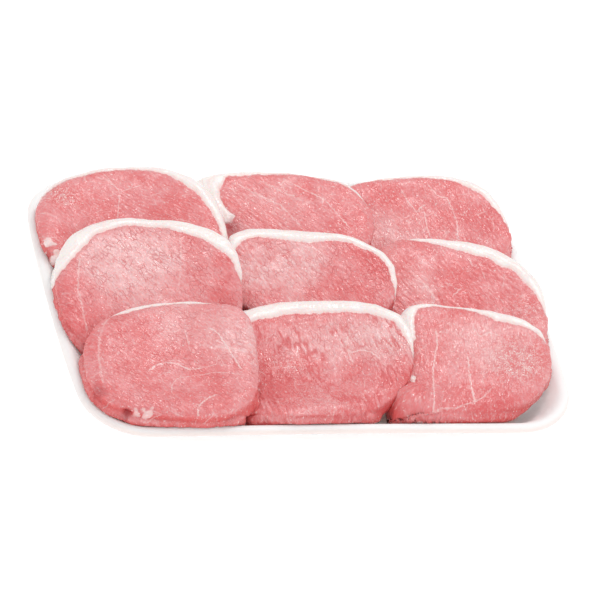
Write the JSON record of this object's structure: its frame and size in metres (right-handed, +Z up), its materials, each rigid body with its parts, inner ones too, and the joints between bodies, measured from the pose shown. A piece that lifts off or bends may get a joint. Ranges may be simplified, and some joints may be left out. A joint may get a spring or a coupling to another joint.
{
  "type": "meat tray pack",
  "caption": "Open white foam tray filled with overlapping slices of boneless pork loin, each with a strip of white fat along its back edge.",
  "frame": {"origin": "under the middle of the tray, on the surface it rests on", "axes": "+X along the tray's length to the right, +Y across the tray from the front row to the back row, +Z up"},
  "size_m": [0.319, 0.2298, 0.0444],
  "materials": {
    "foam": "white expanded polystyrene foam, satin, faintly beaded",
    "pork": "raw pork loin, moist, pink lean with fine pale marbling and white back fat"
  },
  "bodies": {
    "root": {"tray": "foam", "chop_front_left": "pork", "chop_front_mid": "pork", "chop_front_right": "pork", "chop_middle_left": "pork", "chop_middle_mid": "pork", "chop_middle_right": "pork", "chop_back_left": "pork", "chop_back_mid": "pork", "chop_back_right": "pork"}
  },
  "joints": []
}
